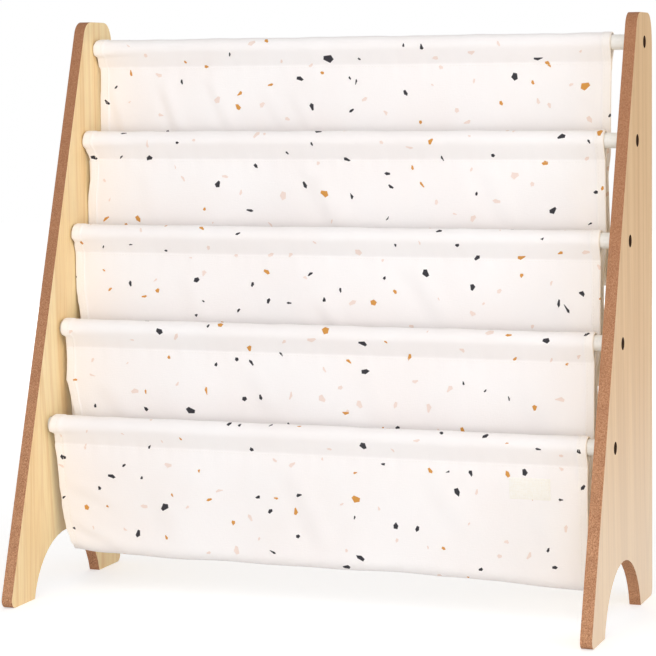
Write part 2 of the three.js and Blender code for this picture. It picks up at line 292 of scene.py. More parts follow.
# Printed cotton. Chips lie one to a cell, and their sizes are half widths in metres.
CHIP_SPACING = 0.0305
CHIP_SCATTER = 0.92
CHIP_SHIFT = (0.311, 0.127, 0.0)
CHIPS_LEFT_OUT = 0.05
CHIP_SIZE = (0.0021, 0.0047)
CHIP_SLENDERNESS = (1.0, 2.3)
CHIP_REACH = (0.42, 1.5)  # of each side from the middle, as shares of the size
CHIP_WOBBLE, WOBBLES = 0.0004, 420.0  # range an outline strays over, and times in a metre
CHIP_BORDER = (0.93, 0.8)  # shares of the reach, between which the ink fades
CHARCOAL, OCHRE, BLUSH = colour(44, 43, 50), colour(216, 150, 64), colour(244, 224, 214)
CHARCOAL_SHARE, OCHRE_SHARE = 0.36, 0.19
COTTON_PALE, COTTON_DEEP = colour(254, 250, 249), colour(253, 247, 245)
# the hems' warmer tone is partly the doubled cloth and partly painted warm shade
COTTON_DOUBLED_AND_SHADED = colour(254, 249, 246)
SLING_WIDTH, HEM_BAND = 0.582, 0.0101  # metres


def canvas_weave(s, place, pitch):
    """Height of a plain weave with that thread pitch, from 0 to 1, and of its uneven slubs."""
    threads = [
        s.math("SINE", s.times(coordinate, math.tau / pitch))
        for coordinate in s.parts(place)[:2]
    ]
    weave = s.between(s.times(*threads), 0.5, 1.0)
    slubs = s.noise(s.scaled(place, (900, 160, 1)), 1.0, 2)
    cross = s.noise(s.scaled(place, (160, 900, 1)), 1.0, 2)
    return weave, s.math("ADD", slubs, cross)


def chips(s, place):
    """The scattered print: a mask of all the chips, and the colour of each one. A chip is what
    lies inside five sides, each at its own distance from the chip's middle."""
    here = s.moved(place, CHIP_SHIFT)
    cells = {"Vector": here, "Scale": 1 / CHIP_SPACING, "Randomness": CHIP_SCATTER}
    middle = s.node("TexVoronoi", cells, voronoi_dimensions="2D").outputs["Position"]
    kind, form, near, far = (s.draws(s.moved(middle, (0.0, 0.0, 1.7 * i))) for i in range(4))
    drift = s.node("TexNoise", {"Vector": here, "Scale": WOBBLES}).outputs["Color"]
    drift = s.scaled(s.moved(drift, (-0.5, -0.5, -0.5)), (CHIP_WOBBLE,) * 3)
    offset = s.vector("SUBTRACT", s.moved(here, drift), middle)
    turn = s.times(form["Red"], math.tau)
    turned = s.node("VectorRotate", {"Vector": offset, "Angle": turn}, rotation_type="Z_AXIS")
    size = s.between(s.math("POWER", form["Green"], 1.5), *CHIP_SIZE)
    slender = s.between(form["Blue"], *CHIP_SLENDERNESS)
    sizes = {"X": s.math("DIVIDE", 1.0, size), "Y": s.math("DIVIDE", slender, size)}
    sizes = s.node("CombineXYZ", sizes).outputs["Vector"]
    local = s.scaled(turned.outputs["Vector"], sizes)
    reaches = [near["Red"], near["Green"], near["Blue"], far["Red"], far["Green"]]
    shape = None
    for i, reach in enumerate(reaches):
        angle = math.tau * i / len(reaches)
        side = s.vector("DOT_PRODUCT", local, (math.cos(angle), math.sin(angle), 0), "Value")
        side = s.math("DIVIDE", side, s.between(reach, *CHIP_REACH))
        shape = side if shape is None else s.math("MAXIMUM", shape, side)
    printed = s.math("GREATER_THAN", far["Blue"], CHIPS_LEFT_OUT)
    mask = s.times(s.step(shape, *CHIP_BORDER), printed)
    ink = s.mix(s.math("GREATER_THAN", kind["Red"], CHARCOAL_SHARE), CHARCOAL, OCHRE)
    blush_from = CHARCOAL_SHARE + OCHRE_SHARE
    return mask, s.mix(s.math("GREATER_THAN", kind["Red"], blush_from), ink, BLUSH)


def cotton():
    """Off-white canvas with a scattered print of small angular chips."""
    s = Surface("sling_cotton", **{
        "Sheen Weight": 0.06, "Sheen Roughness": 0.5, "Specular IOR Level": 0.15,
    })
    place = s.attribute("cloth_place")
    cloud = s.noise(place, 9.0, 3)
    tone = s.mix(s.step(cloud, 0.3, 0.7), COTTON_PALE, COTTON_DEEP)
    across = s.parts(place)["X"]
    from_edge = s.math("MINIMUM", across, s.math("SUBTRACT", SLING_WIDTH, across))
    # the hem band: doubled cloth, tinted warmer as painted shade
    doubled_and_shaded = s.step(from_edge, HEM_BAND + 0.0003, HEM_BAND - 0.0003)
    tone = s.mix(doubled_and_shaded, tone, COTTON_DOUBLED_AND_SHADED)
    mask, ink = chips(s, place)
    worn = s.noise(place, 1300.0, 2)
    tone = s.mix(s.times(mask, s.between(worn, 0.95, 1.0)), tone, ink)
    weave, slubs = canvas_weave(s, place, 0.0009)
    relief = s.bump(weave, 0.00003, s.bump(slubs, 0.00012))
    return s.finish(tone, s.between(slubs, 0.75, 0.95), relief)


def tape_cotton():
    """Bare woven tape, with a denser edge."""
    s = Surface("label_tape", **{"Sheen Weight": 0.15, "Sheen Roughness": 0.5})
    place = s.attribute("cloth_place")
    weave, slubs = canvas_weave(s, place, 0.0006)
    tone = s.mix(s.step(slubs, 0.7, 1.3), colour(254, 251, 245), colour(251, 246, 236))
    relief = s.bump(weave, 0.00005, s.bump(slubs, 0.00008))
    return s.finish(tone, s.between(slubs, 0.7, 0.9), relief)


def thread_cotton():
    """Twisted sewing thread."""
    s = Surface("sewing_thread", **{"Sheen Weight": 0.2})
    twist = s.noise(s.place(), 2500.0, 1)
    tone = s.mix(twist, colour(250, 246, 243), colour(240, 233, 227))
    return s.finish(tone, s.between(twist, 0.6, 0.85), s.bump(twist, 0.00005))


# Meshes


def mesh_object(name, points, faces, materials, smooth_angle=35.0):
    """An object from points in millimetres."""
    mesh = bpy.data.meshes.new(name)
    mesh.from_pydata((np.asarray(points, float) * MM).tolist(), [], faces)
    mesh.validate()
    for material in materials:
        mesh.materials.append(material)
    mesh.shade_smooth()
    mesh.set_sharp_from_angle(angle=math.radians(smooth_angle))
    return linked(name, mesh)


def carried(piece, slot, *nodes):
    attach(piece, "root")
    if nodes:
        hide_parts(*nodes)
    return piece


# Side panels

EDGE_ROUNDING = 0.45
EDGE_SEGMENTS = 2
FLAT_ANGLE, CORNER_ANGLE, SMOOTH_ANGLE = 1.0, 50.0, 18.0  # degrees
PLANE_TOLERANCE, SQUARE_ON = 0.05, 0.99  # how near a side of the board, and how square to it
HOLE_REACH = 9.0  # what lies this close to a rod's axis belongs to a bolt hole
WELD_REACH = 0.001
INNER, OUTER, EDGE, LIP, HOLE = range(5)  # the board's materials


def side_panel(side, inner_face, outer_face, edge, lip, hole):
    """The frame's board with its arrises eased: laminate on both faces, and bare edges."""
    node = f"side_panel_{side}"
    low, high = node_box(node)
    shape = bmesh.new()
    shape.from_mesh(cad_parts[node].data)
    bmesh.ops.remove_doubles(shape, verts=shape.verts, dist=WELD_REACH * MM)
    bmesh.ops.dissolve_limit(
        shape, angle_limit=math.radians(FLAT_ANGLE), verts=shape.verts, edges=shape.edges
    )
    corners = [e for e in shape.edges if e.calc_face_angle(0) > math.radians(CORNER_ANGLE)]
    eased = bmesh.ops.bevel(
        shape, geom=corners, offset=EDGE_ROUNDING * MM, segments=EDGE_SEGMENTS,
        profile=0.5, affect="EDGES", clamp_overlap=True,
    )["faces"]

    def place_on_board(face):
        """A face's middle, and how far that is from the nearer side of the board."""
        middle = np.array(face.calc_center_median()) / MM
        return middle, min(abs(middle[0] - low[0]), abs(middle[0] - high[0]))

    for face in shape.faces:
        middle, inside = place_on_board(face)
        if inside < PLANE_TOLERANCE and abs(face.normal.x) > SQUARE_ON:
            face.material_index = OUTER if face.normal.x * SIDES[side] > 0 else INNER
        else:
            from_rods = [np.hypot(*(middle - rod_middle)[1:]) for rod_middle in ROD_MIDDLES]
            face.material_index = HOLE if min(from_rods) < HOLE_REACH else EDGE
        face.smooth = True
    for face in eased:
        if face.material_index == EDGE and place_on_board(face)[1] < EDGE_ROUNDING:
            face.material_index = LIP
    mesh = bpy.data.meshes.new(f"{node}_board")
    shape.to_mesh(mesh)
    shape.free()
    for material in (inner_face, outer_face, edge, lip, hole):
        mesh.materials.append(material)
    mesh.set_sharp_from_angle(angle=math.radians(SMOOTH_ANGLE))
    return carried(linked(f"{node}_board", mesh), "laminated_board", node)


# Rods and bolts

ROUND_SIDES = 64
RING_ANGLES = np.arange(ROUND_SIDES) * math.tau / ROUND_SIDES


def ring_faces(rings, sides):
    """Faces that join rings of points. Both end rings are capped."""
    faces = []
    last = (rings - 1) * sides
    for start in range(0, last, sides):
        for i in range(sides):
            j = (i + 1) % sides
            faces.append((start + i, start + j, start + sides + j, start + sides + i))
    return [*faces, tuple(reversed(range(sides))), tuple(range(last, last + sides))]


def turned_piece(name, rings, material):
    faces = ring_faces(len(rings), ROUND_SIDES)
    return mesh_object(name, np.concatenate(rings), faces, [material])


def ring(radius, x, middle):
    """Points round a rod's axis. The radius is one number, or one for each point."""
    y = middle[1] + radius * np.cos(RING_ANGLES)
    z = middle[2] + radius * np.sin(RING_ANGLES)
    return np.stack([np.full(ROUND_SIDES, x), y, z], axis=1)


def hexagon(across_flats):
    """The radius of a hexagon at each point of a ring."""
    sixth = math.pi / 3
    from_flat = (RING_ANGLES + sixth / 2) % sixth - sixth / 2
    return across_flats / 2 / np.cos(from_flat)


ROD_END_ROUNDING = 0.8
ROUNDING_STEPS = 4
ROD_BORE = 10.0
ROD_BORE_DEPTH = 20.6


def rod(number, material):
    node = f"rod_{number}"
    low, high = node_box(node)
    middle = (low + high) / 2
    radius = (high[2] - low[2]) / 2

    def end(x, inwards):
        rings = [
            ring(ROD_BORE / 2, x + inwards * ROD_BORE_DEPTH, middle),
            ring(ROD_BORE / 2, x, middle),
        ]
        for i in range(ROUNDING_STEPS + 1):
            turn = math.pi / 2 * i / ROUNDING_STEPS
            out = radius - ROD_END_ROUNDING * (1 - math.sin(turn))
            back = ROD_END_ROUNDING * (1 - math.cos(turn))
            rings.append(ring(out, x + inwards * back, middle))
        return rings

    rings = [*end(high[0], -1), *reversed(end(low[0], 1))]
    return carried(turned_piece(f"{node}_dowel", rings, material), "painted_rod", node)


BOLT_SHANK = 6.0
BOLT_HEAD_THICK = 2.8
HEAD_ROUNDING = 0.7
SOCKET_WIDTH = 4.0
SOCKET_DEPTH = 1.6
SOCKET_LEAD = 0.25


def bolt(side, number, material):
    """A flat round head with a hexagon socket, on a plain shank."""
    node = f"bolt_{side}_{number}"
    low, high = node_box(node)
    middle = (low + high) / 2
    out = SIDES[side]
    tip, face = (low[0], high[0])[::out]
    head = (high[2] - low[2]) / 2
    seat = face - out * BOLT_HEAD_THICK
    shank = BOLT_SHANK / 2
    rings = [
        ring(shank - HEAD_ROUNDING, tip, middle),
        ring(shank, tip + out * HEAD_ROUNDING, middle),
        ring(shank, seat, middle),
        ring(head, seat, middle),
    ]
    for i in range(ROUNDING_STEPS + 1):
        turn = math.pi / 2 * i / ROUNDING_STEPS
        x = face - out * HEAD_ROUNDING * (1 - math.sin(turn))
        rings.append(ring(head - HEAD_ROUNDING * (1 - math.cos(turn)), x, middle))
    rings += [
        ring(hexagon(SOCKET_WIDTH + 2 * SOCKET_LEAD), face, middle),
        ring(hexagon(SOCKET_WIDTH), face - out * SOCKET_LEAD, middle),
        ring(hexagon(SOCKET_WIDTH), face - out * SOCKET_DEPTH, middle),
    ]
    return carried(turned_piece(f"{node}_cap", rings[::-out], material), "bolt_metal", node)


# Sling

ROD_RADIUS = 8.0
CLOTH_THICK = 1.2
SLEEVE_GAP = 0.5
LAYER_OFFSET = 0.75  # each layer's middle, at a closed seam
SEAM_DEPTH = 22.0  # the stitching, below the rod's centre
SEAM_FLAT = 2.5
SEAM_SPARE = 6.0  # how far the strip's two ends reach past their stitching
POCKET_DROP = 144.5
POCKET_TILT = 9.0
POCKET_FRONT = 8.0
POCKET_REAR = 1.0

# Where the sling's two edges lie on each rod, from the top one down
LEFT_ENDS = (-298.3, -299.5, -299.2, -298.5, -295.5)
RIGHT_ENDS = (281.1, 281.8, 285.2, 286.6, 288.0)
FLAT_WIDTH = 582.0

# How the left edge sways on each front layer: (depth below the rod, outwards where negative)
LEFT_SWAY = (
    (
        (-10, -0.3), (-6, -2.0), (-3, -3.0), (5, -2.9), (7.5, -1.7), (12, -1.8), (18, -2.3),
        (22, -0.5), (27, 0.0), (42, -0.2), (52, -0.9), (86, -0.8),
    ),
    (
        (-10, -0.7), (-5, -1.1), (0, -1.6), (4, -1.9), (7, -1.1), (11, -0.6), (16, 0.9), (21, 1.4),
        (26, 2.2), (31, 2.1), (41, 1.6), (51, -0.1), (61, -1.6), (71, -2.2), (86, -2.2),
    ),
    (
        (-10, -0.3), (-7, -0.8), (-2, -1.1), (3, -1.5), (6.6, -0.3), (9, -0.7), (12.6, -1.8),
        (15, -2.2), (26, -2.1), (39, -2.4), (62, -2.4), (69, -1.3), (75, -0.8), (81, 0.6),
        (92, 1.6),
    ),
    (
        (-10, -0.2), (-6, 0.0), (0, -0.4), (4, -0.6), (8, 2.4), (12, 1.4), (15, 0.8), (20, -0.1),
        (32, -0.1), (44, -0.8), (50, -1.5), (56, -2.2), (62, -0.2), (68, 0.9), (74, 2.2), (80, 2.6),
        (85, 4.6), (94, 6.0),
    ),
    (
        (-10, -1.0), (-6, -1.4), (-2, -2.4), (2, -3.2), (5, -3.4), (8, 0.0), (10, 0.1), (14, -0.7),
        (18, -1.4), (23, -2.2), (30, -1.0), (36, -0.2), (60, 0.4), (66, 0.2), (82, 1.6), (88, 1.2),
        (99, 2.4), (111, 4.4), (126, 9.2), (134, 12.2),
    ),
)
LEFT_BULGE = (4.5, 2.5, 2.0, 2.0, 3.0)  # how far each sleeve's left end stands forward
BULGE_REACH = 18.0
BULGE_FROM, BULGE_FADE, BULGE_SLOPE = 8.0, 3.0, 6.0  # below the rod's centre, and forwards
FRONT_RIGHT_SWAY = ((-10, -0.6), (10, -1.0), (30, -1.6), (60, -2.1), (90, -2.5))
RIGHT_SWAY = (*FRONT_RIGHT_SWAY, (110, -3.0), (140, -6.5), (250, -7.0))
HIDDEN_RIGHT_SWAY = ((-10, -1.0), (22, -2.0), (45, -5.5), (150, -6.5))  # of the inner front layers
SWAY_REACH = 45.0  # how far in from the edge the cloth gives way to it
OWN_SWAY_DEPTH = 130.0  # down to here a rear layer follows its own rod's table alone
CORNER_LIFT = 3.2  # the lowest bend climbs by this much towards its left end
CORNER_REACH = 26.0
BOTTOM_RISE = (  # how much higher the lowest bend lies than the others, from its left edge on
    (0, 0.0), (60, 1.4), (100, 2.0), (200, 1.6), (300, 4.0), (400, 5.2), (440, 4.6), (470, 3.2),
    (582, 2.2),
)

HEM_WIDTH = 10.0
HEM_THICK = 0.6
HEM_SLOPE = 1.6  # the width over which the hem's inner edge steps down
HEM_STITCH = 7.6  # from the edge to the hem's stitching
GROOVE_DEPTH = 0.14  # how far that stitching pulls the cloth in
GROOVE_WIDTH = 0.5
EDGE_BEND = 1.0  # how far in the folded edge is rounded
EDGE_SHARE = 0.3  # of the cloth's thickness, that is left at its edge
HEM_SPREAD = 1.0  # how far past a hem the layer over it is held out
SPREAD_FADE = 24.0
COLUMN_STEP = 4.0
ROW_STEP = 4.0
LOOP_STEP, LOOP_TURNS = 1.6, 30  # along a sleeve's straight rows, and round its rod
SPARE_STEP = 2.0  # along the strip's two ends
BEND_TURNS = 12
END_ROUNDING = 1.4  # the sleeves' ends roll in over this much

# Folds on each front layer: across and depth below the rod where they start and end, the width
# of one slope, and how far they stand out
FOLDS = (
    (
        ((70, 34), (94, 98), 7.0, 1.9), ((127, 32), (153, 88), 6.5, 1.3),
        ((189, 44), (213, 86), 6.0, 0.7), ((224, 48), (247, 92), 6.0, 0.8),
        ((8, 36), (26, 94), 5.5, 1.0), ((545, 60), (565, 96), 8.0, -0.9),
    ),
    (
        ((247, 20), (289, 96), 11.0, 1.7), ((446, 21), (474, 86), 10.0, 1.3),
        ((60, 30), (74, 84), 9.0, 0.6), ((548, 34), (560, 90), 9.0, -0.9),
    ),
    (
        ((369, 22), (409, 84), 10.0, 1.4), ((272, 66), (301, 104), 8.0, 1.5),
        ((120, 40), (140, 92), 10.0, 0.7), ((520, 30), (544, 92), 10.0, 0.9),
    ),
    (
        ((206, 36), (230, 84), 10.0, 0.9), ((36, 58), (64, 98), 11.0, 1.2),
        ((330, 30), (352, 90), 11.0, 0.7), ((500, 40), (530, 96), 12.0, 1.0),
    ),
    (
        ((260, 36), (296, 118), 11.0, 1.6), ((407, 36), (452, 96), 11.0, 1.1),
        ((6, 64), (62, 86), 7.0, 1.0), ((4, 104), (66, 132), 7.0, 1.6),
        ((110, 60), (136, 128), 12.0, 0.8), ((520, 66), (548, 128), 11.0, 0.9),
    ),
)

FOLD_SOFTNESS = 0.75
FOLD_FADE = 0.45  # share of its course over which a fold fades in and out
FOLD_LEAD, FOLD_END = 0.25, 1.25
RIDGE_PLACE, HOLLOW_PLACE, HOLLOW_SHARE = 0.7, 0.9, 0.75  # either side of the course

# Slow waves over every wall, and short puckers where a seam gathers it: wavelengths across and
# down, height and phase
WAVES = ((151.0, 420.0, 0.75, 0.7), (97.0, 260.0, 0.45, 2.1), (236.0, 900.0, 0.9, 4.4))
PUCKERS = ((11.0, 0.16, 0.4), (17.0, 0.2, 1.9), (29.0, 0.22, 3.3))
PUCKER_REACH = 11.0
WAVE_HOLD = 60.0  # how far below a seam the waves reach their full height
SEAM_HOLD = 16.0  # how far below a seam the cloth is held from folding
SLEEVE_WAVES = ((61.0, 0.16, 0.5), (37.0, 0.12, 2.6), (143.0, 0.2, 1.2))
LEVEL_FROM, LEVEL_OVER = 4.0, 8.0  # below the rod's centre, where a sleeve's waves turn level
RELIEF_DEPTH, RELIEF_FADE = 235.0, 40.0  # where folds and waves end, down a rear layer


def hem_columns():
    """Distances across the flat cloth, close together where the hems step and are stitched."""
    hem = [0, 0.3, 0.9, 1.8, 4, 6, 6.9, 7.3, 7.6, 7.9, 8.3, 9.4, 9.8, 10.1, 10.5, 12]
    inner = np.arange(16, FLAT_WIDTH / 2, COLUMN_STEP)
    half = np.concatenate([hem, inner])
    return np.concatenate([half, [FLAT_WIDTH / 2], FLAT_WIDTH - half[::-1]])


def spread(start, end, step):
    """Points from start to end, evenly spaced by at most step."""
    start, end = np.asarray(start, float), np.asarray(end, float)
    count = max(1, math.ceil(np.linalg.norm(end - start) / step - 1e-6))
    return [start + (end - start) * i / count for i in range(count + 1)]


def grid_of(*parts):
    """Numbers, rows and columns, spread over each other as the coordinates of a grid of points."""
    return np.stack(np.broadcast_arrays(*parts), axis=2)


def smooth_step(value):
    value = np.clip(value, 0, 1)
    return value * value * (3 - 2 * value)


def smooth_table(table, at):
    """A table of (place, value) pairs, read with soft turns between its places."""
    places, values = (np.array(column, float) for column in zip(*table))
    index = np.clip(np.searchsorted(places, at) - 1, 0, len(places) - 2)
    share = (at - places[index]) / (places[index + 1] - places[index])
    return values[index] + (values[index + 1] - values[index]) * smooth_step(share)


def sleeve_profile():
    """The loop round a rod, rear layer first: offsets in depth and height from its centre."""
    radius = ROD_RADIUS + SLEEVE_GAP + CLOTH_THICK / 2
    flat_top = SEAM_DEPTH - SEAM_FLAT
    reach = math.hypot(LAYER_OFFSET, flat_top)
    tangent = math.atan2(flat_top, LAYER_OFFSET) - math.acos(radius / reach)
    touch = (radius * math.cos(-tangent), radius * math.sin(-tangent))
    rear = spread((LAYER_OFFSET, -SEAM_DEPTH), (LAYER_OFFSET, -flat_top), LOOP_STEP)
    rear += spread((LAYER_OFFSET, -flat_top), touch, LOOP_STEP)[1:]
    arc = []
    for i in range(1, LOOP_TURNS):
        angle = -tangent + (math.pi + 2 * tangent) * i / LOOP_TURNS
        arc.append(np.array((radius * math.cos(angle), radius * math.sin(angle))))
    front = [point * (-1, 1) for point in reversed(rear)]
    return np.array(rear + arc + front)


def hanging(rod, layer, drift, bend_z, shares):
    """A layer from a rod's seam down to the bend, as depth and height for each column. It runs
    along a cubic curve with upright handles."""
    columns = len(bend_z)
    top = np.tile((rod[1] + layer * LAYER_OFFSET, rod[2] - SEAM_DEPTH), (columns, 1))
    end = np.stack([np.full(columns, rod[1] + drift), bend_z], axis=1)
    third = (top[:, 1] - end[:, 1]) / 3
    handle = np.stack([np.zeros(columns), third], axis=1)
    a, b, c, d = (point[:, None] for point in (top, top - handle, end + handle, end))
    t = shares[:, None]
    return a * (1 - t) ** 3 + 3 * b * t * (1 - t) ** 2 + 3 * c * t**2 * (1 - t) + d * t**3


def pocket_profile(number, across):
    """The line of pocket number, 1 to 4, for each column: depth and height, from the seam of the
    rod behind it, down, round the bend and up to the seam of the rod in front."""
    rear, front = ROD_MIDDLES[number - 1 : number + 1]
    lowest = number == ROD_COUNT - 1
    drop = POCKET_DROP + POCKET_TILT * (across / FLAT_WIDTH - 0.5)
    if lowest:
        drop = drop - CORNER_LIFT * np.exp(-((across / CORNER_REACH) ** 2))
        drop = drop - smooth_table(BOTTOM_RISE, across)
    back_drift = rear[1] - front[1] - POCKET_REAR
    radius = (back_drift - POCKET_FRONT) / 2
    low_z = front[2] - drop + radius
    wall = front[2] - SEAM_DEPTH - low_z.mean()
    shares = np.linspace(0, 1, math.ceil(wall / ROW_STEP) + 1)
    hang_z = rear[2] - drop + radius
    upper = hanging(rear, -1, -POCKET_REAR, hang_z, shares)
    count = math.ceil((rear[2] - front[2]) / ROW_STEP)
    down = np.arange(1, count + 1) / count
    straight = grid_of(front[1] + back_drift, hang_z[:, None] + (low_z - hang_z)[:, None] * down)
    angles = -math.pi * np.arange(1, BEND_TURNS) / BEND_TURNS
    bend_y = front[1] + POCKET_FRONT + radius * (1 + np.cos(angles))
    bend = grid_of(bend_y, low_z[:, None] + radius * np.sin(angles))
    layer = -1 if lowest else 1
    rising = hanging(front, layer, POCKET_FRONT, low_z, shares)[:, ::-1]
    return np.concatenate([upper, straight, bend, rising], axis=1)


def fold_height(folds, across, depth):
    """How far the folds stand out at each point of a front layer."""
    height = np.zeros(np.broadcast_shapes(across.shape, depth.shape))
    for start, end, width, rise in folds:
        course = np.subtract(end, start).astype(float)
        length = np.linalg.norm(course)
        course /= length
        x, y = across - start[0], depth - start[1]
        ahead = (x * course[0] + y * course[1]) / length
        aside = (x * course[1] - y * course[0]) / width
        ends = smooth_step(ahead / FOLD_FADE + FOLD_LEAD)
        ends = ends * smooth_step((FOLD_END - ahead) / FOLD_FADE)
        ends = ends * smooth_step((depth - SEAM_DEPTH) / SEAM_HOLD)
        ridge = np.exp(-((aside - RIDGE_PLACE) ** 2))
        hollow = HOLLOW_SHARE * np.exp(-((aside + HOLLOW_PLACE) ** 2))
        height += FOLD_SOFTNESS * rise * ends * (ridge - hollow)
    return height


def pucker_height(across, depth):
    """Short gathers along a seam, that fade out above and below it."""
    gathers = sum(
        rise * np.sin(math.tau * across / wide + phase) for wide, rise, phase in PUCKERS
    )
    return gathers * np.exp(-np.abs(depth - SEAM_DEPTH) / PUCKER_REACH)


def relief(index, across, depth):
    """Folds, gathers and slow waves on the layer that hangs from that rod. The waves grow away
    from the seam."""
    slow = sum(
        rise * np.sin(math.tau * (across / wide + depth / tall) + phase)
        for wide, tall, rise, phase in WAVES
    )
    waves = slow * smooth_step((depth - SEAM_DEPTH) / WAVE_HOLD) + pucker_height(across, depth)
    return fold_height(FOLDS[index], across, depth) + waves


def edge_distance(across):
    return np.minimum(across, FLAT_WIDTH - across)


def hem_share(across, width=HEM_WIDTH):
    """1 on the folded hems and 0 inside them."""
    return smooth_step((width + HEM_SLOPE / 2 - edge_distance(across)) / HEM_SLOPE)


def cloth_normals(points):
    """Square to the cloth, out of its printed face, which is the front of the upper walls."""
    square = -np.cross(np.gradient(points, axis=0), np.gradient(points, axis=1))
    return square / np.linalg.norm(square, axis=2, keepdims=True)


class Strip:
    """The sling as one long strip of cloth: its middle surface by column and row, its flat
    coordinates, and the rows where each sleeve and pocket starts and ends."""

    def __init__(self):
        self.across = hem_columns()
        parts = {}
        for i in range(ROD_COUNT):
            if i > 0:
                parts[f"sling_pocket_{i}"] = self.pocket(i)
            parts[f"sling_sleeve_{i + 1}"] = self.sleeve(i)
        self.spans = {}
        row = 0
        for node, part in parts.items():
            self.spans[node] = (row, row + part.shape[1] - 1)
            row = self.spans[node][1]
        parts = list(parts.values())
        self.points = np.concatenate([parts[0]] + [part[:, 1:] for part in parts[1:]], axis=1)
        middle_line = self.points[len(self.across) // 2]
        steps = np.linalg.norm(np.diff(middle_line, axis=0), axis=1)
        self.down = np.concatenate([[0], np.cumsum(steps)])
        self.square = cloth_normals(self.points)
        hem = hem_share(self.across)
        from_edge = edge_distance(self.across)
        groove = GROOVE_DEPTH * np.exp(-(((from_edge - HEM_STITCH) / GROOVE_WIDTH) ** 2))
        bent = np.sqrt(1 - (1 - np.clip(from_edge / EDGE_BEND, 0, 1)) ** 2)
        thickness = EDGE_SHARE + (1 - EDGE_SHARE) * bent
        half = ((CLOTH_THICK + HEM_THICK * hem) / 2 - groove) * thickness
        middle = self.points + self.square * (HEM_THICK / 2 * hem)[:, None, None]
        self.face = middle + self.square * half[:, None, None]
        self.back = middle - self.square * half[:, None, None]

    def placed(self, profile, left_sway, right_sway):
        """Adds the third dimension: the edges follow the rods' ends and their own sway."""
        y, z = profile[..., 0], profile[..., 1]
        heights = [middle[2] for middle in ROD_MIDDLES[::-1]]
        left, right = (np.interp(z, heights, ends[::-1]) for ends in (LEFT_ENDS, RIGHT_ENDS))
        across = self.across[:, None]
        x = left + (right - left) * across / FLAT_WIDTH
        x = x + left_sway * np.exp(-across / SWAY_REACH)
        x = x + right_sway * np.exp(-(FLAT_WIDTH - across) / SWAY_REACH)
        return grid_of(x, y, z)

    def sleeve(self, index):
        """The loop round one rod. The strip's two outer ends reach past their seams."""
        middle = ROD_MIDDLES[index]
        last = index == ROD_COUNT - 1
        loop = sleeve_profile()
        if index == 0 or last:
            spare = spread((LAYER_OFFSET, -SEAM_DEPTH - SEAM_SPARE), loop[0], SPARE_STEP)[:-1]
            loop = np.concatenate([spare, loop])
        if last:
            loop = loop[::-1]
        across, depth = self.across[:, None], -loop[:, 1]
        radial = loop / np.linalg.norm(loop, axis=1, keepdims=True)
        level = np.stack([np.sign(loop[:, 0]), np.zeros(len(loop))], axis=1)
        under = smooth_step((depth - LEVEL_FROM) / LEVEL_OVER)[:, None]
        outwards = radial * (1 - under) + level * under
        rise = sum(
            height * (1 + np.sin(math.tau * across / wide + phase))
            for wide, height, phase in SLEEVE_WAVES
        )
        rise = rise * smooth_step(1 - depth / SEAM_DEPTH)
        into_end = np.clip(edge_distance(across) / END_ROUNDING, 0, 1)
        roll = 1 - np.sqrt(1 - (1 - into_end) ** 2)
        rise = rise - SLEEVE_GAP * roll * (1 - under[:, 0])
        if last:
            rise = rise + HEM_THICK * hem_share(across, HEM_WIDTH + HEM_SPREAD)
        profile = loop + rise[..., None] * outwards + middle[1:]
        profile[..., 0] -= pucker_height(across, depth)
        bulging = smooth_step(-loop[:, 0] / BULGE_SLOPE)
        bulging = bulging * smooth_step((BULGE_FROM - depth) / BULGE_FADE)
        profile[..., 0] -= LEFT_BULGE[index] * np.exp(-across / BULGE_REACH) * bulging
        sways = [smooth_table(table, depth) for table in (LEFT_SWAY[index], RIGHT_SWAY)]
        return self.placed(profile, *sways)

    def pocket(self, number):
        profile = pocket_profile(number, self.across)
        rear, front = ROD_MIDDLES[number - 1 : number + 1]
        lowest = number == ROD_COUNT - 1
        z = profile[..., 1]
        rows, turn = np.arange(z.shape[1]), z.argmin(axis=1)[:, None]
        rear_depth, front_depth = rear[2] - z, front[2] - z
        behind = profile[..., 0] - front[1] - POCKET_FRONT
        share = np.clip(behind / (rear[1] - front[1] - POCKET_REAR - POCKET_FRONT), 0, 1)
        share = np.where(rows > turn, np.minimum(share, 0.5), share)
        share = np.where((rows < turn) & (rear_depth < OWN_SWAY_DEPTH), 1.0, share)
        share = smooth_step(share)
        front_left, front_right = LEFT_SWAY[0], HIDDEN_RIGHT_SWAY
        if lowest:
            front_left, front_right = LEFT_SWAY[number], FRONT_RIGHT_SWAY
        sways = [
            share * smooth_table(table, rear_depth)
            + (1 - share) * smooth_table(front_table, front_depth)
            for table, front_table in (
                (LEFT_SWAY[number - 1], front_left), (RIGHT_SWAY, front_right),
            )
        ]
        flat = self.placed(profile, *sways)
        across = self.across[:, None]
        on_rear = share * smooth_step((RELIEF_DEPTH - rear_depth) / RELIEF_FADE)
        raised = on_rear * relief(number - 1, across, rear_depth)
        raised = raised - (1 - share) * relief(number, across, front_depth)
        if lowest:
            above_fade = SEAM_DEPTH + SPREAD_FADE - front_depth
            near_seam = (1 - share) * smooth_step(above_fade / SPREAD_FADE)
            spread_out = HEM_THICK * hem_share(across, HEM_WIDTH + HEM_SPREAD)
            raised = raised - near_seam * spread_out
        return flat + cloth_normals(flat) * raised[..., None]


def grid_quads(grid, flip=False):
    a, b, c, d = grid[:-1, :-1], grid[:-1, 1:], grid[1:, 1:], grid[1:, :-1]
    order = (a, d, c, b) if flip else (a, b, c, d)
    return np.stack(order, axis=-1).reshape(-1, 4).tolist()


CLOTH_SMOOTH_ANGLE, THREAD_SMOOTH_ANGLE = 60.0, 80.0
MAP_SIZE, MAP_FACE, MAP_BACK = (0.98, 0.47), (0.01, 0.01), (0.01, 0.52)
MAP_RIMS = (0.505, 0.495)


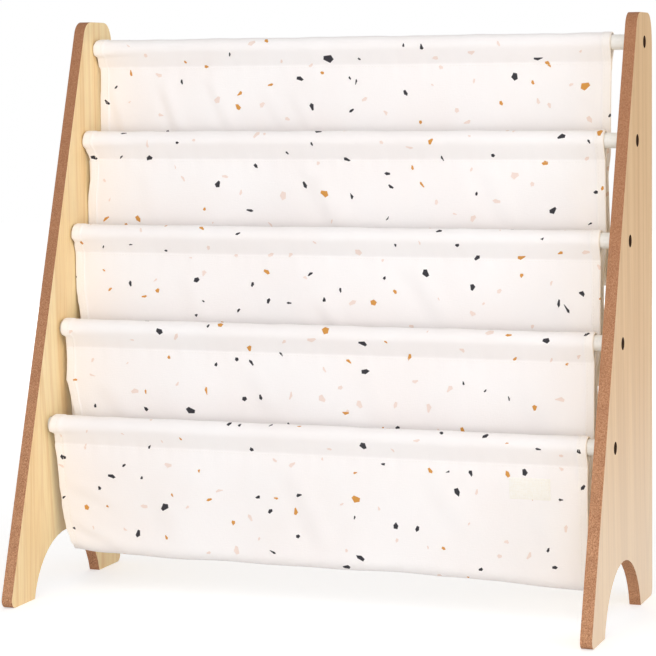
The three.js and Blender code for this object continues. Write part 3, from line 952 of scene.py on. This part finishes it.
def closed_cloth(name, face, back, flat, material):
    """A closed cloth between two grids of points, with its flat places and its own map: the face
    in the lower half, the back in the upper half and the cut edges in slivers between."""
    columns, rows = face.shape[:2]
    size = columns * rows
    number = np.arange(size).reshape(columns, rows)
    faces = grid_quads(number) + grid_quads(number + size, True)
    rims = ((number[0], True), (number[-1], False), (number[:, 0], False), (number[:, -1], True))
    for line, flip in rims:
        faces += grid_quads(np.stack([line, line + size]), flip)
    points = np.concatenate([face.reshape(-1, 3), back.reshape(-1, 3)])
    cloth = mesh_object(name, points, faces, [material], CLOTH_SMOOTH_ANGLE)
    attribute = cloth.data.attributes.new("cloth_place", "FLOAT_VECTOR", "POINT")
    flat = flat.reshape(-1, 3)
    places = np.concatenate([flat, flat]) * MM
    attribute.data.foreach_set("vector", places.astype(np.float32).ravel())
    low = flat.min(axis=0)
    reach = flat.max(axis=0) - low
    share = (flat - low)[:, :2] / reach[:2] * MAP_SIZE
    on_map = np.concatenate([share + MAP_FACE, share + MAP_BACK])
    corners = np.empty(len(cloth.data.loops), np.int32)
    cloth.data.loops.foreach_get("vertex_index", corners)
    on_map = on_map[corners]
    rim_start = 2 * len(grid_quads(number)) * 4
    on_map[rim_start:, 1] = np.where(on_map[rim_start:, 1] > 0.5, *MAP_RIMS)
    layer = cloth.data.uv_layers.new(name="OFBake")
    layer.data.foreach_set("uv", on_map.astype(np.float32).ravel())
    return cloth


STITCH_PITCH = 3.5
STITCH_LENGTH = 2.5
THREAD_RADIUS = 0.22
THREAD_SIDES = 5
STITCH_RINGS = ((-0.5, 0.25), (-0.3, 1.0), (0.3, 1.0), (0.5, 0.25))  # shares of length and radius
STITCH_SINK = 0.5  # of the thread's radius, at a stitch's ends
THREAD_LIFT = 0.05  # the thread's middle above the cloth
SEAM_START, HEM_START, LABEL_START = 1.5, 2.0, 0.6  # from a row's end to its first stitch


def stitch_row(line, square, start):
    """Points of the stitches along a line of points, at each of which the cloth faces square.
    Each stitch dips into the cloth at both ends."""
    line, square = np.asarray(line), np.asarray(square)
    reach = np.concatenate([[0], np.cumsum(np.linalg.norm(np.diff(line, axis=0), axis=1))])
    middles = np.arange(start, reach[-1] - start, STITCH_PITCH)

    def at(values, where):
        return np.stack([np.interp(where, reach, values[:, i]) for i in range(3)], axis=1)

    ahead = at(line, middles + 0.5) - at(line, middles - 0.5)
    ahead /= np.linalg.norm(ahead, axis=1, keepdims=True)
    up = at(square, middles)
    aside = np.cross(ahead, up)
    aside /= np.linalg.norm(aside, axis=1, keepdims=True)
    up = np.cross(aside, ahead)
    angles = np.arange(THREAD_SIDES) * math.tau / THREAD_SIDES
    rings = []
    for place, thick in STITCH_RINGS:
        sink = STITCH_SINK * THREAD_RADIUS * (thick < 1)
        middle = at(line, middles + place * STITCH_LENGTH) - up * sink
        radius = THREAD_RADIUS * thick
        rings.append(
            middle[:, None]
            + radius * np.cos(angles)[:, None] * aside[:, None]
            + radius * np.sin(angles)[:, None] * up[:, None]
        )
    return np.stack(rings, axis=1).reshape(-1, 3)


def thread_piece(name, rows, material):
    """One piece out of several rows of stitches."""
    points = np.concatenate(rows)
    pattern = ring_faces(len(STITCH_RINGS), THREAD_SIDES)
    starts = range(0, len(points), len(STITCH_RINGS) * THREAD_SIDES)
    faces = [tuple(start + i for i in face) for start in starts for face in pattern]
    thread = mesh_object(name, points, faces, [material], THREAD_SMOOTH_ANGLE)
    return carried(thread, "sling_cotton")


def stitches_on(strip, picked, way, start):
    """Stitches along one row or column of the strip: on its face for 1, on its back for -1."""
    surface = strip.face if way > 0 else strip.back
    square = strip.square[picked] * way
    return stitch_row(surface[picked] + square * THREAD_LIFT, square, start)


def seam_threads(strip, number, material):
    """The stitching that closes one sleeve, on its front and on its rear."""
    first, last = strip.spans[f"sling_sleeve_{number}"]
    spare = math.ceil(SEAM_SPARE / SPARE_STEP)
    first += spare if number == 1 else 0
    last -= spare if number == ROD_COUNT else 0
    way = -1 if number == ROD_COUNT else 1
    rows = [stitches_on(strip, np.s_[:, row], way, SEAM_START) for row in (first, last)]
    return thread_piece(f"sling_seam_{number}_thread", rows, material)


def hem_threads(strip, side, material):
    column = int(np.abs(strip.across - HEM_STITCH).argmin())
    if side == "right":
        column = len(strip.across) - 1 - column
    rows = [stitches_on(strip, column, way, HEM_START) for way in (1, -1)]
    return thread_piece(f"sling_hem_{side}_thread", rows, material)


LABEL_WIDTH, LABEL_HEIGHT, LABEL_THICK = 43.0, 22.0, 0.5
LABEL_ACROSS = 521.5  # the label's middle, from the sling's left edge
LABEL_DROP = 44.5  # and below the rod's centre
LABEL_COLUMNS, LABEL_ROWS = 30, 16
LABEL_LIFT = 0.1
LABEL_EDGE_SHARE, LABEL_ROUNDING = 0.55, 0.8  # of its thickness at the edge, and how far in
LABEL_PUFF, PUFF_REACH, PUFF_HOLD = 0.25, 5.0, 1.5  # from the edge, and from the stitching
LABEL_STITCH_INSET = 2.0
LABEL_STITCH_POINTS = 24


def sewn_label(strip, cloth, thread):
    """A bare tape label, sewn down all round, that follows the lowest pocket's front wall."""
    first, last = strip.spans[f"sling_pocket_{ROD_COUNT - 1}"]
    wall = strip.back[:, first : last + 1]
    wall = wall[:, wall[len(strip.across) // 2, :, 2].argmin() :]
    centre_z = ROD_MIDDLES[-1][2] - LABEL_DROP

    def on_wall(across, z):
        column = np.searchsorted(strip.across, across) - 1
        share = (across - strip.across[column]) / np.diff(strip.across)[column]
        line = wall[column] * (1 - share) + wall[column + 1] * share
        return np.array([np.interp(z, line[:, 2], line[:, axis]) for axis in range(3)])

    across = LABEL_ACROSS + np.linspace(-0.5, 0.5, LABEL_COLUMNS + 1) * LABEL_WIDTH
    heights = centre_z + np.linspace(0.5, -0.5, LABEL_ROWS + 1) * LABEL_HEIGHT
    grid = np.array([[on_wall(a, z) for z in heights] for a in across])
    square = cloth_normals(grid)
    columns = np.minimum(across - across[0], across[-1] - across)[:, None]
    rows = np.minimum(heights[0] - heights, heights - heights[-1])[None, :]
    from_edge = np.minimum(columns, rows)
    from_stitch = np.abs(from_edge - LABEL_STITCH_INSET)
    puff = LABEL_PUFF * smooth_step(from_edge / PUFF_REACH) * smooth_step(from_stitch / PUFF_HOLD)
    bent = LABEL_EDGE_SHARE + (1 - LABEL_EDGE_SHARE) * smooth_step(from_edge / LABEL_ROUNDING)
    rise = LABEL_LIFT + LABEL_THICK * bent + puff
    face = grid + square * rise[..., None]
    back = grid + square * LABEL_LIFT
    flat = grid_of(across[:, None], -heights, 0.0)
    label = closed_cloth("sewn_label_tape", face, back, flat, cloth)
    carried(label, "label_cloth", "sewn_label")
    half = np.array((LABEL_WIDTH, LABEL_HEIGHT)) / 2 - LABEL_STITCH_INSET
    out = np.tile(square[LABEL_COLUMNS // 2, LABEL_ROWS // 2], (LABEL_STITCH_POINTS, 1))
    turns = np.array(((-1, 1), (1, 1), (1, -1), (-1, -1), (-1, 1))) * half
    lines = []
    for start, end in zip(turns, turns[1:]):
        course = np.linspace(start, end, LABEL_STITCH_POINTS)
        line = np.array([on_wall(LABEL_ACROSS + a, centre_z + z) for a, z in course])
        line = line + out * (LABEL_LIFT + LABEL_THICK + THREAD_LIFT)
        lines.append(stitch_row(line, out, LABEL_START))
    return label, thread_piece("sewn_label_thread", lines, thread)


def make_sling(cloth, tape, thread):
    strip = Strip()
    numbers = range(1, ROD_COUNT + 1)
    sewn = {f"sling_sleeve_{i}": [seam_threads(strip, i, thread)] for i in numbers}
    sewn["sling_pocket_1"] = [hem_threads(strip, side, thread) for side in SIDES]
    label, label_stitches = sewn_label(strip, tape, thread)
    sewn[f"sling_pocket_{ROD_COUNT - 1}"] = [label_stitches]
    for node, (first, last) in strip.spans.items():
        rows = slice(first, last + 1)
        flat = grid_of(strip.across[:, None], strip.down[rows], 0.0)
        face, back = strip.face[:, rows], strip.back[:, rows]
        piece = closed_cloth(f"{node}_cloth", face, back, flat, cloth)
        carried(piece, "sling_cotton", node)
        number = int(node[-1])
        rests, on_it = [f"rod_{number}_dowel"], sewn.get(node, [])
        if "pocket" in node:
            rests.append(f"rod_{number + 1}_dowel")


# Stage

FLOOR_SIZE = 12000.0
FLOOR_GLOW = (0.42, 0.62)  # by the shelf and far away, to the camera and to mirrors only
GLOW_FROM = (0.5, 2.5)
LAMPS = (
    # name, place, aims at, width, power in watts
    ("key", (0.6, -3.2, 0.6), (0, 0, 0.3), 2.4, 20.0),
    ("low", (0.7, -1.9, 0.1), (0, 0, 0.2), 1.2, 10.8),
    ("top", (0.2, -1.8, 2.2), (0, 0, 0.2), 1.8, 10.8),
    ("side", (2.9, -1.5, 0.9), (0, 0, 0.3), 1.6, 13.2),
    ("right", (1.8, 0.05, 0.12), (0.3, 0, 0.12), 0.8, 6.5),
    ("back", (-1.0, 3.0, 1.0), (0, 0, 0.3), 2.2, 21.0),
)
WORLD_STRENGTH = 0.54


def make_floor():
    s = Surface("studio_floor", **{"Emission Color": (1, 1, 1, 1)})
    tone = s.mix(s.noise(s.place(), 3.0), colour(232, 232, 232), colour(229, 229, 229))
    path = s.node("LightPath").outputs
    seen = s.math("MAXIMUM", path["Is Camera Ray"], path["Is Glossy Ray"])
    seen = s.math("MAXIMUM", seen, path["Is Transmission Ray"])
    away = s.vector("LENGTH", s.place(), output="Value")
    glow = s.between(s.step(away, *GLOW_FROM), *FLOOR_GLOW)
    s.put(s.shader.inputs["Emission Strength"], s.times(seen, glow))
    half = FLOOR_SIZE / 2
    corners = [(-half, -half, 0), (half, -half, 0), (half, half, 0), (-half, half, 0)]
    floor = mesh_object("floor", corners, [(0, 1, 2, 3)], [s.finish(tone, 0.9)])


def make_light():
    world = bpy.data.worlds.new("studio")
    world.use_nodes = True
    bpy.context.scene.world = world
    s = Nodes(world.node_tree)
    ground = s.tree.nodes["Background"].inputs
    seen = s.node("LightPath").outputs["Is Camera Ray"]
    s.put(ground["Strength"], s.between(seen, WORLD_STRENGTH, 1.0))
    s.put(ground["Color"], (1, 1, 1, 1))
    for name, place, aim, width, power in LAMPS:
        data = bpy.data.lights.new(name, "AREA")
        data.size = width
        data.energy = power
        lamp = linked(name, data)
        lamp.location = place
        towards = Vector(aim) - Vector(place)
        lamp.rotation_euler = towards.to_track_quat("-Z", "Y").to_euler()


# Assembly

make_camera()
make_light()
make_floor()
bpy.context.scene.view_settings.view_transform = "Standard"

# One laminate in lit and shaded copies: the inner faces are painted paler as painted light, the outer
# faces darker as painted shade
lit_inner_maple = laminate(
    "maple_inner_lit", colour(255, 230, 178), colour(252, 219, 162), colour(228, 178, 114), (0, 0, 0), 0.0
)
shaded_outer_maple = laminate(
    "maple_outer_shaded", colour(225, 185, 133), colour(216, 173, 119), colour(192, 146, 92), (3, 1.3, 0.7),
    0.42,
)
# the hole walls' 0.9 share is painted shade inside the bolt holes
bare_edge, hole_wall_painted_shade = fibreboard("fibreboard_edge", 0.0), fibreboard("hole_wall_painted_shade", 0.9)
lip = laminate_lip()
for side in SIDES:
    side_panel(side, lit_inner_maple, shaded_outer_maple, bare_edge, lip, hole_wall_painted_shade)

paint = white_paint()
bolt_steel = steel("bolt_steel", colour(34, 31, 29), colour(58, 53, 49), 0.4)
zinc = steel("insert_zinc", colour(176, 172, 162), colour(196, 192, 184), 0.38)
for number in range(1, ROD_COUNT + 1):
    rod(number, paint)
    for side in SIDES:
        bolt(side, number, bolt_steel)
        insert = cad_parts[f"insert_{side}_{number}"]
        insert.data.materials.clear()
        insert.data.materials.append(zinc)

make_sling(cotton(), tape_cotton(), thread_cotton())
